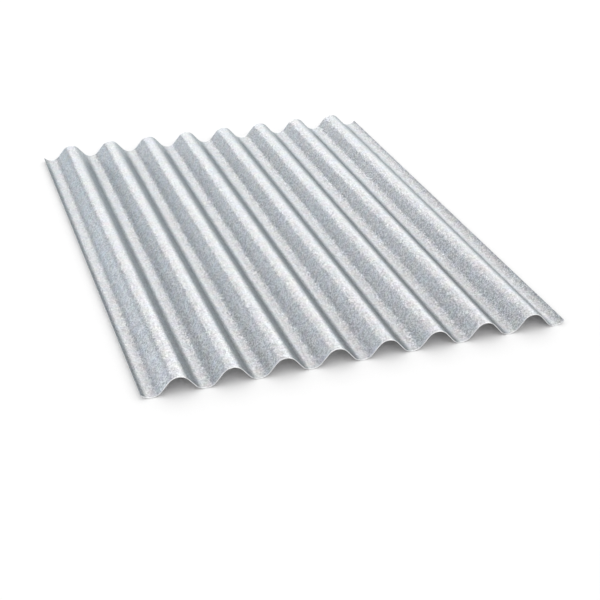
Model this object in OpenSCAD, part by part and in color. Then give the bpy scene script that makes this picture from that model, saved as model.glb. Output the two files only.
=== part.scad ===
// Corrugated roofing sheet: one piece of galvanized steel, rolled into round waves that have a
// straight flank between one bend and the next. Both long edges end in a valley.
// X runs across the waves, Y along the ridges, and Z up. The origin is on the floor, under the
// middle of the sheet, which lies on the undersides of its valleys.

/* [Sheet] */
// Length along the ridges
sheet_length = 780; // [100:1:3600]
// Thickness of the steel with its zinc
steel_thickness = 0.85; // [0.4:0.05:1.6]

/* [Waves] */
// Number of crests
crest_count = 8; // [1:1:16]
// Distance from one crest to the next
wave_pitch = 67.73; // [50:0.01:90]
// Depth of the waves, from the top of a crest down to the top of a valley
wave_depth = 22.2; // [17:0.1:34]
// Slope of the straight flank between two bends, in degrees
flank_angle = 50; // [38:0.5:64]

/* [Long edges] */
// Turn of an outer valley's bend, from its lowest line up to the long edge, in degrees
edge_turn = 50; // [10:1:85]

/* [Hidden] */
$fn = 96;

// A length to the nearest thousandth, so that a bend and a flank meet exactly
function to_thousandth(length) = round(1000 * length) / 1000;

half_pitch = to_thousandth(wave_pitch / 2);
half_steel = to_thousandth(steel_thickness / 2);

// From the middle of a valley to the middle of a crest there are two bends and the flank between
// them, which together cover half the pitch and the whole depth
bend_radius = to_thousandth(
    (half_pitch * sin(flank_angle) - wave_depth * cos(flank_angle)) / (1 - cos(flank_angle)) / 2);
half_flank = to_thousandth((half_pitch / 2 - bend_radius * sin(flank_angle)) / cos(flank_angle));
outer_radius = bend_radius + half_steel;
inner_radius = bend_radius - half_steel;

// Room past the steel for the shapes that cut it
margin = 1;

// Half of a ring: a valley's bend, which runs into the flank at the origin
module bend() {
    translate([0, bend_radius]) intersection() {
        difference() {
            circle(r = outer_radius);
            circle(r = inner_radius);
        }
        translate([-outer_radius - margin, -outer_radius - margin])
            square([outer_radius + margin, 2 * (outer_radius + margin)]);
    }
}

// A flank laid level about the origin, with a valley's bend at its left and a crest's at its right
module flank_with_bends() {
    square([2 * half_flank, 2 * half_steel], center = true);
    for (turn = [0, 180])
        rotate(turn) translate([-half_flank, 0]) bend();
}

// The slice from the middle of a valley, at x = 0, to the middle of a crest
module half_wave_slice() {
    translate([0, -margin]) square([half_pitch, wave_depth + 2 * half_steel + 2 * margin]);
}

// The wedge under an outer valley's bend, from its lowest line out to the long edge
module edge_wedge() {
    reach = 2 * outer_radius;
    translate([0, half_steel + bend_radius])
        polygon([[0, 0], [0, -reach], [-reach * sin(edge_turn), -reach * cos(edge_turn)]]);
}

// The steel from the middle of a valley to the middle of a crest, and out to the long edge if it is the last
module half_wave(at_edge) {
    intersection() {
        translate([half_pitch / 2, half_steel + wave_depth / 2]) rotate(flank_angle) flank_with_bends();
        union() {
            half_wave_slice();
            if (at_edge) edge_wedge();
        }
    }
}

// The whole section across the waves, one crest at a time
module section() {
    for (i = [0 : crest_count - 1])
        translate([(2 * i + 1 - crest_count) * half_pitch, 0]) {
            translate([-half_pitch, 0]) half_wave(at_edge = i == 0);
            mirror([1, 0]) translate([-half_pitch, 0]) half_wave(at_edge = i == crest_count - 1);
        }
}

module corrugated_sheet() {
    color([0.80, 0.82, 0.84])
        rotate([90, 0, 0]) linear_extrude(height = sheet_length, center = true) section();
}

corrugated_sheet();
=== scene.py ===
"""Looks of a galvanized corrugated roofing sheet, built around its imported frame."""

import math

import bpy
from bpy.props import FloatProperty, FloatVectorProperty, IntProperty, PointerProperty
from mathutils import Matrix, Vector


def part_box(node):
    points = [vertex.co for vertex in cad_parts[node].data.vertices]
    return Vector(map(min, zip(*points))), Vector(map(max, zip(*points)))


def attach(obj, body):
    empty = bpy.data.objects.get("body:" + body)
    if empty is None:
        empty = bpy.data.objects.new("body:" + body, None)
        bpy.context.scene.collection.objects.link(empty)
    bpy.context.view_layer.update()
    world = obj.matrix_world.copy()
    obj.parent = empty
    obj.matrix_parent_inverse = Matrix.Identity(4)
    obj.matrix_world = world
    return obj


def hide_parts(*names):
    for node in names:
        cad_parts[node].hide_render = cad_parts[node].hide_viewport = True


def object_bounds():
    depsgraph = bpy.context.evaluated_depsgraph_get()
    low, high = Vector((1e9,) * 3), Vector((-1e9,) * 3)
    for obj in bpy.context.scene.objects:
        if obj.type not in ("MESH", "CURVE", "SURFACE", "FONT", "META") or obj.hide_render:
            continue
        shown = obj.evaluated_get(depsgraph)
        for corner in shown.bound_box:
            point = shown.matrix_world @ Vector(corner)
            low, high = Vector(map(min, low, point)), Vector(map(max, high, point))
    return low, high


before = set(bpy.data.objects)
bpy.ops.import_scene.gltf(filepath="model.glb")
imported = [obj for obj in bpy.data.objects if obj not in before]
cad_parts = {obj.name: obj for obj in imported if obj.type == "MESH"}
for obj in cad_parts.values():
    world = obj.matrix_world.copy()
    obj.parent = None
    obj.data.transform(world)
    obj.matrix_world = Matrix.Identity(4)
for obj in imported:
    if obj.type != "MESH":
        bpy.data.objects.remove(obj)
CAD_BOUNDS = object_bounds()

bl_info = {
    "name": "Galvanized roofing sheet",
    "version": (1, 0, 0),
    "blender": (4, 5, 0),
    "location": "View3D > Sidebar > Roofing sheet",
    "description": "Rolls a corrugated sheet of galvanized steel and sets it on a plain stage",
    "category": "Object",
}

MM = 0.001

SHEET_NODE = "corrugated_sheet"
SHEET_BODY = "root"
# how far the rolled sheet's ends may be from the frame's
FIT_LIMIT = 0.3 * MM

# the maps that the sheet's tree leaves on the mesh for its material
STRIP_MAP = "UVMap"
CUT_DEPTH = "cut_depth"
END_GAP = "end_gap"
EDGE_GAP = "edge_gap"
STEEPNESS = "steepness"

WHITE = (1.0, 1.0, 1.0, 1.0)
BLACK = (0.0, 0.0, 0.0, 1.0)


# --- Nodes written as expressions -----------------------------------------------------------


class Wire:
    """A node's output. Arithmetic on it adds Math nodes to its tree."""

    def __init__(self, board, socket):
        self.board, self.socket = board, socket

    def also(self, name):
        """Another output of the same node."""
        return Wire(self.board, self.socket.node.outputs[name])

    def __add__(self, other):
        return self.board.math("ADD", self, other)

    def __sub__(self, other):
        return self.board.math("SUBTRACT", self, other)

    def __rsub__(self, other):
        return self.board.math("SUBTRACT", other, self)

    def __mul__(self, other):
        return self.board.math("MULTIPLY", self, other)

    def __truediv__(self, other):
        return self.board.math("DIVIDE", self, other)

    def __rtruediv__(self, other):
        return self.board.math("DIVIDE", other, self)

    def __abs__(self):
        return self.board.math("ABSOLUTE", self)

    __radd__, __rmul__ = __add__, __mul__


class Board:
    """A node tree and the ways to add to it."""

    def __init__(self, tree):
        self.tree = tree

    def node(self, kind, settings=None, sockets=None, out=0):
        """Adds a node with its settings, then its sockets by name or number. Gives one output."""
        made = self.tree.nodes.new(kind)
        for name, value in (settings or {}).items():
            setattr(made, name, value)
        for name, value in (sockets or {}).items():
            if isinstance(value, Wire):
                self.tree.links.new(value.socket, made.inputs[name])
            else:
                made.inputs[name].default_value = value
        return Wire(self, made.outputs[out]) if len(made.outputs) else None

    def math(self, operation, *values):
        return self.node("ShaderNodeMath", {"operation": operation}, dict(enumerate(values)))

    def vector(self, operation, *values):
        return self.node("ShaderNodeVectorMath", {"operation": operation}, dict(enumerate(values)))

    def join(self, x, y, z):
        return self.node("ShaderNodeCombineXYZ", {}, {"X": x, "Y": y, "Z": z})

    def split(self, vector):
        x = self.node("ShaderNodeSeparateXYZ", {}, {"Vector": vector})
        return x, x.also("Y"), x.also("Z")

    def least(self, a, b):
        return self.math("MINIMUM", a, b)

    def most(self, a, b):
        return self.math("MAXIMUM", a, b)

    def fade(self, value, start, end):
        """0 below start, 1 above end, smooth between them."""
        return self.node(
            "ShaderNodeMapRange",
            {"interpolation_type": "SMOOTHSTEP"},
            {"Value": value, "From Min": start, "From Max": end},
        )

    def colours(self, blend, share, first, second):
        """Mixes two colours."""
        return self.node(
            "ShaderNodeMix",
            {"data_type": "RGBA", "blend_type": blend},
            {0: share, 6: first, 7: second},
            out=2,
        )

    def attribute(self, name):
        """A number that the mesh carries."""
        return self.node("ShaderNodeAttribute", {"attribute_name": name}, out="Fac")


def cleared_board(owner):
    """The empty node tree of a new material or world."""
    owner.use_nodes = True
    owner.node_tree.nodes.clear()
    return Board(owner.node_tree)


def opaque(colour):
    """A colour of three numbers as a socket takes it."""
    return (*colour, 1.0)


def placed(name, data):
    """A new object of data, in the scene."""
    made = bpy.data.objects.new(name, data)
    bpy.context.scene.collection.objects.link(made)
    return made


# --- The sheet's shape ----------------------------------------------------------------------

# each input's name and type, and the property that sets it
SHEET_INPUTS = (
    ("Sheet Length", "NodeSocketFloat", "sheet_length"),
    ("Steel Thickness", "NodeSocketFloat", "steel_thickness"),
    ("Crest Count", "NodeSocketInt", "crest_count"),
    ("Wave Pitch", "NodeSocketFloat", "wave_pitch"),
    ("Wave Depth", "NodeSocketFloat", "wave_depth"),
    ("Flank Angle", "NodeSocketFloat", "flank_angle"),
    ("Edge Turn", "NodeSocketFloat", "edge_turn"),
    ("Corner Radius", "NodeSocketFloat", "corner_radius"),
    ("Columns", "NodeSocketInt", "columns"),
    ("Rows", "NodeSocketInt", "rows"),
    ("Skin", "NodeSocketMaterial", None),
)
# steps from the middle of a rounded corner to where it meets a face
CORNER_STEPS = 3
HALF_CORNER = math.radians(45)
# how far behind the corner the next row stands, so that the face is shaded flat
HOLDING_ROW = 0.25 * MM
# points through the steel: both corners, a row behind each and one in the middle
WALL_LAYERS = 2 * (CORNER_STEPS + 2) + 1


def placed_from_end(board, share, half, radius, hold, count):
    """Spreads a row of count even places, from -1 to 1, out to half.

    At each end CORNER_STEPS of them share the rounded corner, and the next is hold further in.
    """
    step = (1.0 - abs(share)) * (count - 1.0) * 0.5
    turn = (1.0 - board.least(step / CORNER_STEPS, 1.0)) * HALF_CORNER
    past = board.most(step - CORNER_STEPS, 0.0)
    steps_left = (count - 1.0) * 0.5 - (CORNER_STEPS + 1)
    inward = (
        radius * (1.0 - board.math("TANGENT", turn))
        + hold * board.least(past, 1.0)
        + (half - radius - hold) * board.most(past - 1.0, 0.0) / steps_left
    )
    return board.math("SIGN", share) * (half - inward)


def sheet_tree():
    """The rule of the sheet: a flat strip with rounded corners, bent into arcs and flanks."""
    tree = bpy.data.node_groups.new("Rolled sheet", "GeometryNodeTree")
    tree.interface.new_socket("Sheet", in_out="OUTPUT", socket_type="NodeSocketGeometry")
    for name, kind, _ in SHEET_INPUTS:
        tree.interface.new_socket(name, in_out="INPUT", socket_type=kind)
    board = Board(tree)
    given = board.node("NodeGroupInput")
    length, steel, crests, pitch, depth, flank, turn, radius, columns, rows, skin = (
        given.also(name) for name, _, _ in SHEET_INPUTS
    )

    # Half a wave, from a valley's lowest line to a crest's highest: bend, straight flank, bend.
    sine, cosine = board.math("SINE", flank), board.math("COSINE", flank)
    bend_radius = (pitch * 0.5 * sine - depth * cosine) / (1.0 - cosine) * 0.5
    bend_run = bend_radius * flank
    flank_run = (pitch * 0.5 - bend_radius * sine * 2.0) / cosine
    half_wave_run = bend_run * 2.0 + flank_run

    # The flat strip: each point's place across it, along it and through the steel.
    strip = board.node(
        "GeometryNodeMeshCube",
        {},
        {
            "Size": (2.0, 2.0, 2.0),
            "Vertices X": columns,
            "Vertices Y": rows,
            "Vertices Z": WALL_LAYERS,
        },
    )
    across, along, through = board.split(board.node("GeometryNodeInputPosition"))
    half_strip = half_wave_run * crests + bend_radius * turn
    half_length, half_steel = length * 0.5, steel * 0.5
    wall_hold = (half_steel - radius) * 0.5
    flat = board.join(
        placed_from_end(board, across, half_strip, radius, HOLDING_ROW, columns),
        placed_from_end(board, along, half_length, radius, HOLDING_ROW, rows),
        placed_from_end(board, through, half_steel, radius, wall_hold, WALL_LAYERS),
    )

    # The rounded corners: each point stands one radius out from a block that much smaller.
    core = board.join(half_strip - radius, half_length - radius, half_steel - radius)
    low_core = board.vector("MULTIPLY", core, (-1.0, -1.0, -1.0))
    inner = board.vector("MINIMUM", board.vector("MAXIMUM", flat, low_core), core)
    outward = board.vector("NORMALIZE", board.vector("SUBTRACT", flat, inner))
    grown_by = board.vector("MULTIPLY", outward, board.join(radius, radius, radius))
    run, y, rise = board.split(board.vector("ADD", inner, grown_by))

    # The bend: how far each point is from its nearest valley, and on which side.
    from_first = run + half_wave_run * crests
    valley = board.math("FLOOR", from_first / (half_wave_run * 2.0) + 0.5)
    side = board.math("SIGN", from_first - valley * half_wave_run * 2.0)
    gone = board.math("PINGPONG", from_first, half_wave_run)
    low_turn = board.least(gone / bend_radius, flank)
    on_flank = board.least(board.most(gone - bend_run, 0.0), flank_run)
    high_turn = board.most(gone - bend_run - flank_run, 0.0) / bend_radius
    slope = low_turn - high_turn
    sine_low, cosine_low = board.math("SINE", low_turn), board.math("COSINE", low_turn)
    sine_slope, cosine_slope = board.math("SINE", slope), board.math("COSINE", slope)
    past_flank = board.math("GREATER_THAN", high_turn, 0.0)
    x = bend_radius * (sine_low + past_flank * (sine - sine_slope)) + on_flank * cosine
    z = bend_radius * (1.0 - cosine_low + past_flank * (cosine_slope - cosine)) + on_flank * sine
    bent = board.join(
        (valley - crests * 0.5) * pitch + side * (x - rise * sine_slope),
        y,
        half_steel + z + rise * cosine_slope,
    )

    for name, kind, domain, value in (
        (STRIP_MAP, "FLOAT2", "CORNER", board.join(run, y, 0.0)),
        (CUT_DEPTH, "FLOAT", "POINT", half_steel - abs(rise)),
        (END_GAP, "FLOAT", "POINT", half_length - abs(y)),
        (EDGE_GAP, "FLOAT", "POINT", half_strip - abs(run)),
        (STEEPNESS, "FLOAT", "POINT", slope / flank),
    ):
        strip = board.node(
            "GeometryNodeStoreNamedAttribute",
            {"data_type": kind, "domain": domain},
            {"Geometry": strip, "Name": name, "Value": value},
        )
    sheet = board.node("GeometryNodeSetPosition", {}, {"Geometry": strip, "Position": bent})
    sheet = board.node("GeometryNodeSetShadeSmooth", {}, {0: sheet, "Shade Smooth": True})
    sheet = board.node("GeometryNodeRealizeInstances", {}, {"Geometry": sheet})
    sheet = board.node("GeometryNodeSetMaterial", {}, {"Geometry": sheet, "Material": skin})
    board.node("NodeGroupOutput", {}, {"Sheet": sheet})
    return tree


def grown(name, tree, inputs):
    """A plain mesh object of what the tree makes. inputs are the values of its named sockets."""
    seed = placed(name + "_seed", bpy.data.meshes.new(name + "_seed"))
    modifier = seed.modifiers.new("Rule", "NODES")
    modifier.node_group = tree
    for item in tree.interface.items_tree:
        if item.in_out == "INPUT":
            modifier[item.identifier] = inputs[item.name]
    graph = bpy.context.evaluated_depsgraph_get()
    mesh = bpy.data.meshes.new_from_object(seed.evaluated_get(graph), depsgraph=graph)
    mesh.name = name
    seed.modifiers.remove(modifier)
    bpy.data.objects.remove(seed)
    return placed(name, mesh)


def check_fit(sheet):
    """Raises when the rolled sheet doesn't fill the frame's sheet."""
    for axis in range(3):
        places = [vertex.co[axis] for vertex in sheet.data.vertices]
        for end, corner in zip((min(places), max(places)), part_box(SHEET_NODE)):
            if abs(end - corner[axis]) > FIT_LIMIT:
                wanted = corner[axis]
                raise ValueError(f"on axis {axis} the sheet ends at {end} m, not {wanted} m")


# --- The finish -----------------------------------------------------------------------------

# the sheet's middle height, where the painted light on the crests and the painted shade in the
# valleys are nothing
MIDDLE_HEIGHT = 11.5 * MM
# each coarser layer of the grain: its size, and its share in the blend from dark to bright
PATCH_SIZE, PATCH_SHARE = 9 * MM, 0.06
CLOUD_SIZE, CLOUD_SHARE = 45 * MM, 0.03
# lines that the rolls draw: how many there are in a metre across and along, and their shares
DRAWN_LINES, DRAWN_SHARE, DRAWN_RELIEF = (420.0, 5.0, 1.0), 0.09, 0.3
# how much the crystals, the grain and the clouds change the roughness
CRYSTAL_GLOSS, GRAIN_GLOSS, CLOUD_GLOSS = 0.05, 0.05, 0.03
# each film's patch size and its two tints
FILMS = (
    (16 * MM, (0.945, 1.0, 1.055), (1.055, 1.0, 0.945)),
    (13 * MM, (1.03, 0.965, 1.03), (0.97, 1.035, 0.97)),
)
# depth below the faces at which the cut steel starts and is whole
BARE_STEEL = (0.05 * MM, 0.16 * MM)
# distances from a long edge and from a cut end over which their finish fades out, the last one for
# the painted shade along the long edges
LONG_EDGE = (0.11 * MM, 0.13 * MM)
RUBBED_END = (0.8 * MM, 1.6 * MM)
PAINTED_EDGE_SHADE_REACH = (1.0 * MM, 11.0 * MM)
# scores that the shears leave in the cut steel
SCORE_SIZE, SCORE_SHARE, SCORE_DARK = 0.35 * MM, 0.35, (0.6, 0.6, 0.6, 1.0)
CUT_ROUGHNESS, SCORE_ROUGHNESS = 0.34, 0.2


def zinc_material(finish):
    """Hot-dip zinc with a fine grain of crystals, and bare steel where the sheet was cut."""
    made = bpy.data.materials.new("galvanized_zinc")
    board = cleared_board(made)
    place = board.node("ShaderNodeTexCoord", out="Object")
    strip = board.node("ShaderNodeUVMap", {"uv_map": STRIP_MAP})

    def noise(size, detail=2.0, rough=0.6, vector=place, dimensions="3D"):
        """A noise whose features are about size metres across, less its middle."""
        made = board.node(
            "ShaderNodeTexNoise",
            {"noise_dimensions": dimensions},
            {"Vector": vector, "Scale": 1.0 / size, "Detail": detail, "Roughness": rough},
        )
        return made - 0.5

    grain = noise(finish.grain_size, detail=1.0)
    crystal = board.node(
        "ShaderNodeTexVoronoi",
        {},
        {"Vector": place, "Scale": 1.0 / finish.crystal_size},
        out="Color",
    )
    facet, facet_gloss, _ = board.split(crystal)
    patch = noise(PATCH_SIZE)
    cloud = noise(CLOUD_SIZE, detail=3.0, rough=0.55)
    stretched = board.vector("MULTIPLY", strip, DRAWN_LINES)
    drawn = noise(1.0, rough=0.5, vector=stretched, dimensions="2D")

    # The rolls press the grain flat on the bends. The crests are painted lighter and the valleys
    # darker by height, a painted shade for the valleys' shadowing.
    steepness = board.attribute(STEEPNESS)
    _, _, height = board.split(place)
    light = (
        0.5
        + (grain * finish.grain_contrast + (facet - 0.5) * finish.crystal_contrast)
        * (1.0 + steepness * finish.flank_contrast)
        # painted light and shade: lighter above the middle height, darker below it
        + (height - MIDDLE_HEIGHT) * (finish.painted_crest_light / MIDDLE_HEIGHT)
        + patch * PATCH_SHARE
        + cloud * CLOUD_SHARE
        + drawn * DRAWN_SHARE
    )
    dark, bright = (
        opaque(tone * (1.0 + side * 0.5 * finish.colour_span) for tone in finish.zinc)
        for side in (-1, 1)
    )
    zinc = board.colours("MIX", light, dark, bright)
    # The clear film that keeps new zinc from staining gives it faint cool, warm and green tints.
    for size, first, second in FILMS:
        share = 0.5 + noise(size) * finish.tint_contrast
        film = board.colours("MIX", share, opaque(first), opaque(second))
        zinc = board.colours("MULTIPLY", 1.0, zinc, film)
    zinc_roughness = (
        finish.roughness
        + (facet_gloss - 0.5) * CRYSTAL_GLOSS
        + grain * GRAIN_GLOSS
        + cloud * CLOUD_GLOSS
    )

    # The cut ends show bright bare steel with a narrow rubbed line beside it. The mill's long
    # edges show darker steel, partly their own duller finish and partly painted shade, and the
    # zinc is painted darker towards them as painted shade.
    end_gap, edge_gap = board.attribute(END_GAP), board.attribute(EDGE_GAP)
    bare = board.fade(board.attribute(CUT_DEPTH), *BARE_STEEL)
    long_edge = 1.0 - board.fade(edge_gap, *LONG_EDGE)
    rubbed = (1.0 - board.fade(end_gap, *RUBBED_END)) * finish.end_rub
    edge_shade_share = (1.0 - board.fade(edge_gap, *PAINTED_EDGE_SHADE_REACH)) * finish.painted_edge_shade
    scored = noise(SCORE_SIZE)
    # the long edges' steel is dark partly from its own duller finish and partly as painted shade
    # for the edge that faces down
    steel = board.colours("MIX", long_edge, opaque(finish.cut_steel), opaque(finish.edge_steel_and_shade))
    scores = board.colours("MIX", scored + 0.5, SCORE_DARK, WHITE)
    steel = board.colours("MULTIPLY", SCORE_SHARE, steel, scores)
    # painted shade: the zinc darkens towards the long edges
    zinc = board.colours("MULTIPLY", edge_shade_share, zinc, BLACK)
    zinc = board.colours("MIX", rubbed, zinc, opaque(finish.cut_steel))
    colour = board.colours("MIX", bare, zinc, steel)
    steel_roughness = CUT_ROUGHNESS + scored * SCORE_ROUGHNESS
    roughness = zinc_roughness * (1.0 - bare) + steel_roughness * bare

    # Each crystal's face leans its own way, and the rolls leave faint lines along the strip.
    lean = board.vector("SUBTRACT", crystal, (0.5, 0.5, 0.5))
    lean = board.vector("MULTIPLY", lean, (finish.crystal_lean,) * 3)
    upright = board.node("ShaderNodeNewGeometry", out="Normal")
    leaning = board.vector("NORMALIZE", board.vector("ADD", upright, lean))
    relief = board.node(
        "ShaderNodeBump",
        {},
        {
            "Strength": 1.0,
            "Distance": finish.grain_height,
            "Height": grain + drawn * DRAWN_RELIEF,
            "Normal": leaning,
        },
    )
    surface = board.node(
        "ShaderNodeBsdfPrincipled",
        {"distribution": "GGX"},
        {
            "Base Color": colour,
            "Metallic": finish.metallic,
            "Roughness": roughness,
            "Specular Tint": opaque(finish.grazing_tint),
            "Normal": relief,
        },
    )
    board.node("ShaderNodeOutputMaterial", {}, {"Surface": surface})
    return made


# --- The stage's materials ------------------------------------------------------------------

# share of a card's fade below which its foot's colour is whole
FADE_START = 0.3


def ray_shows(board):
    """1 for a ray that shows something to the camera, straight or by gloss or glass."""
    path = board.node("ShaderNodeLightPath", out="Is Camera Ray")
    glossy, through = path.also("Is Glossy Ray"), path.also("Is Transmission Ray")
    return board.most(board.most(path, glossy), through)


def floor_material(stage):
    """A pale floor that keeps shadows, and throws less light back than it shows."""
    made = bpy.data.materials.new("pale_floor")
    board = cleared_board(made)
    seen = ray_shows(board)
    paint = board.colours("MIX", seen, opaque(stage.floor_bounce), opaque(stage.floor_colour))
    lit = board.node("ShaderNodeBsdfDiffuse", {}, {"Color": paint})
    lift = seen * stage.floor_lift
    glow = board.node("ShaderNodeEmission", {}, {"Color": WHITE, "Strength": lift})
    surface = board.node("ShaderNodeAddShader", {}, {0: lit, 1: glow})
    board.node("ShaderNodeOutputMaterial", {}, {"Surface": surface})
    return made


def card_material(name, colour, foot, fade_height):
    """Shows the sheet a card's colour, and below fade_height more and more of its foot's."""
    made = bpy.data.materials.new(name)
    made.cycles.emission_sampling = "NONE"
    board = cleared_board(made)
    _, _, height = board.split(board.node("ShaderNodeTexCoord", out="Object"))
    share = board.fade(height, FADE_START * fade_height, fade_height)
    shown = board.colours("MIX", share, opaque(foot), opaque(colour))
    surface = board.node("ShaderNodeEmission", {}, {"Color": shown, "Strength": 1.0})
    board.node("ShaderNodeOutputMaterial", {}, {"Surface": surface})
    return made


# --- Settings -------------------------------------------------------------------------------


class RoofSheetSizes(bpy.types.PropertyGroup):
    """Sizes of the rolled sheet."""

    sheet_length: FloatProperty(
        name="Sheet length",
        description="Length along the ridges",
        default=CAD_BOUNDS[1].y - CAD_BOUNDS[0].y,
        min=0.1,
        unit="LENGTH",
        precision=4,
    )
    steel_thickness: FloatProperty(
        name="Steel thickness",
        description="Thickness of the coated steel",
        default=0.85 * MM,
        min=0.4 * MM,
        unit="LENGTH",
        precision=5,
    )
    crest_count: IntProperty(
        name="Crests",
        description="Number of crests across the sheet",
        default=8,
        min=1,
    )
    wave_pitch: FloatProperty(
        name="Wave pitch",
        description="Distance from one crest to the next",
        default=67.73 * MM,
        min=0.05,
        unit="LENGTH",
        precision=5,
    )
    wave_depth: FloatProperty(
        name="Wave depth",
        description="Height of the waves without the steel's thickness",
        default=22.2 * MM,
        min=0.017,
        unit="LENGTH",
        precision=5,
    )
    flank_angle: FloatProperty(
        name="Flank angle",
        description="Slope of the straight flanks",
        default=math.radians(50),
        subtype="ANGLE",
    )
    edge_turn: FloatProperty(
        name="Edge turn",
        description="How far the bend past each outer valley goes on",
        default=math.radians(50),
        subtype="ANGLE",
    )
    corner_radius: FloatProperty(
        name="Corner radius",
        description="Rounding of the sheared corners",
        default=0.14 * MM,
        min=0.01 * MM,
        unit="LENGTH",
        precision=5,
    )
    columns: IntProperty(
        name="Columns",
        description="Points across the strip, an odd number",
        default=385,
        min=31,
    )
    rows: IntProperty(
        name="Rows",
        description="Points along the strip, an odd number",
        default=61,
        min=11,
    )


class RoofSheetFinish(bpy.types.PropertyGroup):
    """Colours and grain of the zinc."""

    zinc: FloatVectorProperty(
        name="Zinc",
        description="Average colour of the zinc",
        default=(0.660, 0.657, 0.667),
        subtype="COLOR",
        min=0.0,
        max=1.0,
    )
    colour_span: FloatProperty(
        name="Colour span",
        description="How far the grain takes the colour from dark to bright, as a share of it",
        default=0.60,
        min=0.0,
        max=1.0,
        subtype="FACTOR",
    )
    cut_steel: FloatVectorProperty(
        name="Cut ends",
        description="Colour of the freshly cut ends",
        default=(0.97, 0.97, 0.97),
        subtype="COLOR",
        min=0.0,
        max=1.0,
    )
    # partly the mill edge's own duller steel, partly painted shade for the edge that faces down
    edge_steel_and_shade: FloatVectorProperty(
        name="Long edges",
        description="Colour of the mill's long edges",
        default=(0.34, 0.35, 0.37),
        subtype="COLOR",
        min=0.0,
        max=1.0,
    )
    end_rub: FloatProperty(
        name="End rub",
        description="Brightness of the line that the shears rub beside the cut ends",
        default=0.85,
        min=0.0,
        max=1.0,
        subtype="FACTOR",
    )
    # painted shade along the long edges
    painted_edge_shade: FloatProperty(
        name="Painted edge shade",
        description="How much darker the zinc gets towards the long edges",
        default=0.16,
        min=0.0,
        max=1.0,
        subtype="FACTOR",
    )
    grazing_tint: FloatVectorProperty(
        name="Grazing tint",
        description="Tint of the light that the zinc throws back at a grazing angle",
        default=(0.459, 0.538, 0.565),
        subtype="COLOR",
        min=0.0,
        max=1.0,
    )
    metallic: FloatProperty(
        name="Metallic",
        description="Share of bare metal in the finish",
        default=0.92,
        min=0.0,
        max=1.0,
        subtype="FACTOR",
    )
    roughness: FloatProperty(
        name="Roughness",
        description="Average roughness of the zinc",
        default=0.316,
        min=0.0,
        max=1.0,
        subtype="FACTOR",
    )
    grain_size: FloatProperty(
        name="Grain size",
        description="Width of the grain",
        default=2.6 * MM,
        min=0.1 * MM,
        unit="LENGTH",
        precision=5,
    )
    grain_height: FloatProperty(
        name="Grain height",
        description="Height of the grain's relief",
        default=0.05 * MM,
        min=0.0,
        unit="LENGTH",
        precision=5,
    )
    grain_contrast: FloatProperty(
        name="Grain contrast",
        description="How strongly the grain changes the colour",
        default=0.52,
        min=0.0,
    )
    crystal_size: FloatProperty(
        name="Crystal size",
        description="Width of a zinc crystal",
        default=1.4 * MM,
        min=0.1 * MM,
        unit="LENGTH",
        precision=5,
    )
    crystal_contrast: FloatProperty(
        name="Crystal contrast",
        description="How strongly the crystals change the colour",
        default=0.45,
        min=0.0,
    )
    flank_contrast: FloatProperty(
        name="Flank contrast",
        description="How much stronger the grain is on the flanks",
        default=2.0,
        min=0.0,
    )
    # painted light on the crests and painted shade in the valleys
    painted_crest_light: FloatProperty(
        name="Painted crest light",
        description="How much brighter the crests are, as a share of the colour span",
        default=0.116,
        min=0.0,
    )
    crystal_lean: FloatProperty(
        name="Crystal lean",
        description="How far the crystals' faces lean, as a slope",
        default=0.20,
        min=0.0,
    )
    tint_contrast: FloatProperty(
        name="Tint contrast",
        description="How strongly the film tints the zinc",
        default=1.35,
        min=0.0,
    )


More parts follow.
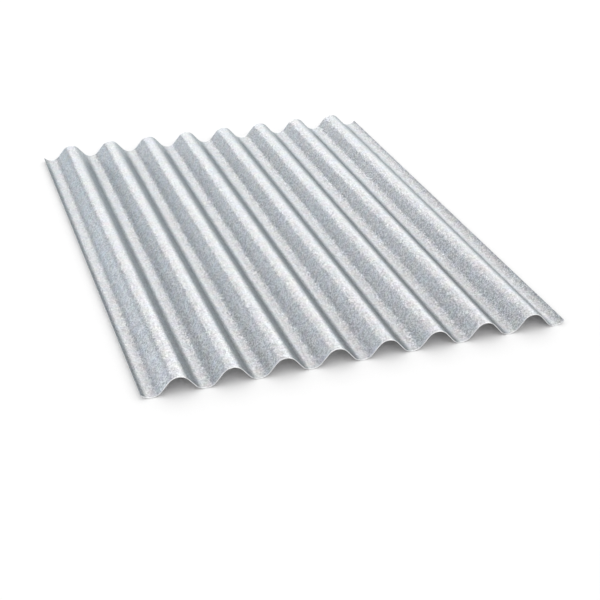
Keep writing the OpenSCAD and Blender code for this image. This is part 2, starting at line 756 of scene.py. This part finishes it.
class RoofSheetStage(bpy.types.PropertyGroup):
    """Floor, light and camera."""

    floor_colour: FloatVectorProperty(
        name="Floor",
        description="Colour of the floor",
        default=(0.97, 0.97, 0.97),
        subtype="COLOR",
        min=0.0,
        max=1.0,
    )
    floor_bounce: FloatVectorProperty(
        name="Floor bounce",
        description="Colour of the light that the floor throws back",
        default=(0.3, 0.3, 0.3),
        subtype="COLOR",
        min=0.0,
        max=1.0,
    )
    floor_lift: FloatProperty(
        name="Floor lift",
        description="Glow that brings the lit floor up to white",
        default=0.02,
        min=0.0,
    )
    screen_colour: FloatVectorProperty(
        name="Cool screen",
        description="Colour of the screen that stands left of the softbox",
        default=(0.571, 0.614, 0.657),
        subtype="COLOR",
        min=0.0,
        max=1.0,
    )
    screen_foot: FloatVectorProperty(
        name="Screen foot",
        description="Colour of the cool screen near the floor",
        default=(0.884, 0.94, 0.996),
        subtype="COLOR",
        min=0.0,
        max=1.0,
    )
    foot_level: FloatProperty(
        name="Foot level",
        description="Brightness of the cool screen's foot, as a multiple of its colour",
        default=1.48,
        min=0.0,
    )
    screen_fade: FloatProperty(
        name="Screen fade",
        description="How far up the foot's colour fades out, seen from the sheet",
        default=math.radians(14.8),
        subtype="ANGLE",
    )
    screen_height: FloatProperty(
        name="Screen height",
        description="How far up the cool screen reaches, seen from the sheet",
        default=math.radians(55),
        subtype="ANGLE",
    )
    screen_start: FloatProperty(
        name="Screen start",
        description="Where the cool screen ends beside the softbox, to the right of the ridges",
        default=math.radians(-19.8),
        subtype="ANGLE",
    )
    screen_end: FloatProperty(
        name="Screen end",
        description="Where the cool screen ends on the left, to the right of the ridges",
        default=math.radians(-100),
        subtype="ANGLE",
    )
    high_colour: FloatVectorProperty(
        name="High screen",
        description="Colour of the screen above the softbox",
        default=(0.785, 0.785, 0.785),
        subtype="COLOR",
        min=0.0,
        max=1.0,
    )
    high_foot: FloatProperty(
        name="High screen foot",
        description="How high the high screen starts, seen from the sheet",
        default=math.radians(36),
        subtype="ANGLE",
    )
    high_top: FloatProperty(
        name="High screen top",
        description="How far up the high screen reaches, seen from the sheet",
        default=math.radians(65),
        subtype="ANGLE",
    )
    front_colour: FloatVectorProperty(
        name="Front screen",
        description="Colour of the low screen round the front and the right",
        default=(0.272, 0.280, 0.288),
        subtype="COLOR",
        min=0.0,
        max=1.0,
    )
    front_height: FloatProperty(
        name="Front screen height",
        description="How far up the front screen reaches, seen from the sheet",
        default=math.radians(28),
        subtype="ANGLE",
    )
    front_end: FloatProperty(
        name="Front screen end",
        description="Where the front screen ends on the right, to the right of the ridges",
        default=math.radians(75),
        subtype="ANGLE",
    )
    sky_level: FloatProperty(
        name="Room light",
        description="Strength of the light from all round",
        default=1.0,
        min=0.0,
    )
    softbox_level: FloatProperty(
        name="Softbox level",
        description="Brightness of the softbox, where 1 is white",
        default=1.05,
        min=0.0,
    )
    softbox_size: FloatVectorProperty(
        name="Softbox size",
        description="Width and height of the softbox",
        default=(5.95, 1.33),
        size=2,
        subtype="XYZ",
        unit="LENGTH",
    )
    softbox_turn: FloatProperty(
        name="Softbox turn",
        description="How far the softbox stands to the right of the ridges",
        default=math.radians(21.2),
        subtype="ANGLE",
    )
    softbox_height: FloatProperty(
        name="Softbox height",
        description="How high the softbox stands, seen from the sheet",
        default=math.radians(24.6),
        subtype="ANGLE",
    )
    camera_place: FloatVectorProperty(
        name="Camera place",
        description="Where the camera stands",
        default=(-0.4977, -1.6193, 0.8152),
        subtype="TRANSLATION",
        precision=4,
    )
    camera_tilt: FloatProperty(
        name="Camera tilt",
        description="How far the camera looks below the horizon",
        default=math.radians(28.835),
        subtype="ANGLE",
    )
    camera_turn: FloatProperty(
        name="Camera turn",
        description="How far the camera looks to the right of the ridges",
        default=math.radians(18.60),
        subtype="ANGLE",
    )
    camera_lens: FloatProperty(
        name="Lens",
        description="Focal length in millimetres on a 36 mm sensor",
        default=74.23,
        min=10,
        unit="CAMERA",
    )


# --- The stage's pieces ---------------------------------------------------------------------

# half the floor's width, and its height, a hair below the sheet so that the two never merge
FLOOR_REACH, FLOOR_HEIGHT = 14.0, -0.05 * MM
# distances from the sheet's middle
SOFTBOX_DISTANCE = 4.2
SCREEN_DISTANCE, HIGH_DISTANCE, FRONT_DISTANCE = 6.5, 6.2, 6.0
# flat pieces that a curved card is made of
CARD_STEPS = 96
# the lens's sensor in millimetres, and the nearest and farthest that the camera sees in metres
SENSOR_WIDTH = 36.0
NEAREST, FARTHEST = 0.01, 100.0


def plain_mesh(name, points, faces, material):
    """A new object of the given points and faces, in the scene."""
    mesh = bpy.data.meshes.new(name)
    mesh.from_pydata(points, [], faces)
    mesh.materials.append(material)
    return placed(name, mesh)


def add_floor(stage):
    """A level square floor."""
    corners = ((-1, -1), (1, -1), (1, 1), (-1, 1))
    points = [(x * FLOOR_REACH, y * FLOOR_REACH, FLOOR_HEIGHT) for x, y in corners]
    return plain_mesh("floor", points, [(0, 1, 2, 3)], floor_material(stage))


def add_card(name, distance, turns, heights, colour, foot, fade):
    """An upright curved card round the sheet that only reflections show.

    turns are where it starts and ends, to the right of the ridges, and heights how far up, both
    as angles seen from the sheet. So is fade, where its foot's colour has faded out.
    """
    start, end = turns
    row = CARD_STEPS + 1
    bearings = [start + (end - start) * i / CARD_STEPS for i in range(row)]
    points = [
        (distance * math.sin(bearing), distance * math.cos(bearing), distance * math.tan(height))
        for height in heights
        for bearing in bearings
    ]
    faces = [(i, i + 1, i + 1 + row, i + row) for i in range(CARD_STEPS)]
    skin = card_material(name, colour, foot, distance * math.tan(fade))
    made = plain_mesh(name, points, faces, skin)
    made.visible_camera = made.visible_diffuse = made.visible_shadow = False
    return made


def add_softbox(stage):
    """A wide soft lamp behind the sheet that faces it."""
    width, height = stage.softbox_size
    lamp = bpy.data.lights.new("softbox", "AREA")
    lamp.shape, lamp.size, lamp.size_y = "RECTANGLE", width, height
    lamp.energy = stage.softbox_level * math.pi * width * height
    turn, rise = stage.softbox_turn, stage.softbox_height
    level = math.cos(rise)
    towards = Vector((level * math.sin(turn), level * math.cos(turn), math.sin(rise)))
    made = placed("softbox", lamp)
    made.location = towards * SOFTBOX_DISTANCE
    made.rotation_euler = (-towards).to_track_quat("-Z", "Y").to_euler()


def add_room(stage):
    """A white room that lights the sheet from all round."""
    room = bpy.data.worlds.new("Room")
    board = cleared_board(room)
    seen = ray_shows(board)
    strength = seen + (1.0 - seen) * stage.sky_level
    sky = board.node("ShaderNodeBackground", {}, {"Color": WHITE, "Strength": strength})
    board.node("ShaderNodeOutputWorld", {}, {"Surface": sky})
    bpy.context.scene.world = room


def add_camera(stage):
    """The camera, set up by its place, tilt, turn and lens."""
    camera = placed("Camera", bpy.data.cameras.new("Camera"))
    camera.location = stage.camera_place
    camera.rotation_euler = (math.pi / 2 - stage.camera_tilt, 0, -stage.camera_turn)
    camera.data.lens = stage.camera_lens
    camera.data.sensor_width = SENSOR_WIDTH
    camera.data.clip_start, camera.data.clip_end = NEAREST, FARTHEST
    bpy.context.scene.camera = camera


# --- Operators ------------------------------------------------------------------------------


class ROOFSHEET_OT_roll(bpy.types.Operator):
    """Roll the corrugated sheet and give it its zinc"""

    bl_idname = "roof_sheet.roll"
    bl_label = "Roll the sheet"

    def execute(self, context):
        sizes, finish = context.scene.roof_sheet_sizes, context.scene.roof_sheet_finish
        skin = zinc_material(finish)
        inputs = {name: getattr(sizes, key) if key else skin for name, _, key in SHEET_INPUTS}
        sheet = grown("galvanized_sheet", sheet_tree(), inputs)
        check_fit(sheet)
        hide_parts(SHEET_NODE)
        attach(sheet, SHEET_BODY)
        return {"FINISHED"}


class ROOFSHEET_OT_stage(bpy.types.Operator):
    """Lay the floor, light the room and place the camera"""

    bl_idname = "roof_sheet.stage"
    bl_label = "Set the stage"

    def execute(self, context):
        stage = context.scene.roof_sheet_stage
        floor = add_floor(stage)
        screen = add_card(
            "cool_screen",
            SCREEN_DISTANCE,
            turns=(stage.screen_end, stage.screen_start),
            heights=(0.0, stage.screen_height),
            colour=stage.screen_colour,
            foot=[tone * stage.foot_level for tone in stage.screen_foot],
            fade=stage.screen_fade,
        )
        front = add_card(
            "front_screen",
            FRONT_DISTANCE,
            turns=(stage.front_end, stage.screen_end + math.tau),
            heights=(0.0, stage.front_height),
            colour=stage.front_colour,
            foot=stage.front_colour,
            fade=stage.front_height,
        )
        high = add_card(
            "high_screen",
            HIGH_DISTANCE,
            turns=(stage.screen_start, stage.front_end),
            heights=(stage.high_foot, stage.high_top),
            colour=stage.high_colour,
            foot=stage.high_colour,
            fade=stage.high_foot,
        )
        add_softbox(stage)
        add_room(stage)
        add_camera(stage)
        context.scene.view_settings.view_transform = "Standard"
        return {"FINISHED"}


class ROOFSHEET_PT_panel(bpy.types.Panel):
    """Sizes, finish and stage of the roofing sheet"""

    bl_label = "Roofing sheet"
    bl_idname = "ROOFSHEET_PT_panel"
    bl_space_type = "VIEW_3D"
    bl_region_type = "UI"
    bl_category = "Roofing sheet"

    def draw(self, context):
        for group, operator in (
            ("roof_sheet_sizes", None),
            ("roof_sheet_finish", ROOFSHEET_OT_roll),
            ("roof_sheet_stage", ROOFSHEET_OT_stage),
        ):
            box, settings = self.layout.box(), getattr(context.scene, group)
            for name in settings.__annotations__:
                box.prop(settings, name)
            if operator:
                box.operator(operator.bl_idname)


GROUPS = {
    "roof_sheet_sizes": RoofSheetSizes,
    "roof_sheet_finish": RoofSheetFinish,
    "roof_sheet_stage": RoofSheetStage,
}
CLASSES = (*GROUPS.values(), ROOFSHEET_OT_roll, ROOFSHEET_OT_stage, ROOFSHEET_PT_panel)


def register():
    for made in CLASSES:
        bpy.utils.register_class(made)
    for name, group in GROUPS.items():
        setattr(bpy.types.Scene, name, PointerProperty(type=group))


def unregister():
    for name in GROUPS:
        delattr(bpy.types.Scene, name)
    for made in reversed(CLASSES):
        bpy.utils.unregister_class(made)


def main():
    register()
    bpy.ops.roof_sheet.roll()
    bpy.ops.roof_sheet.stage()


if __name__ == "__main__":
    main()
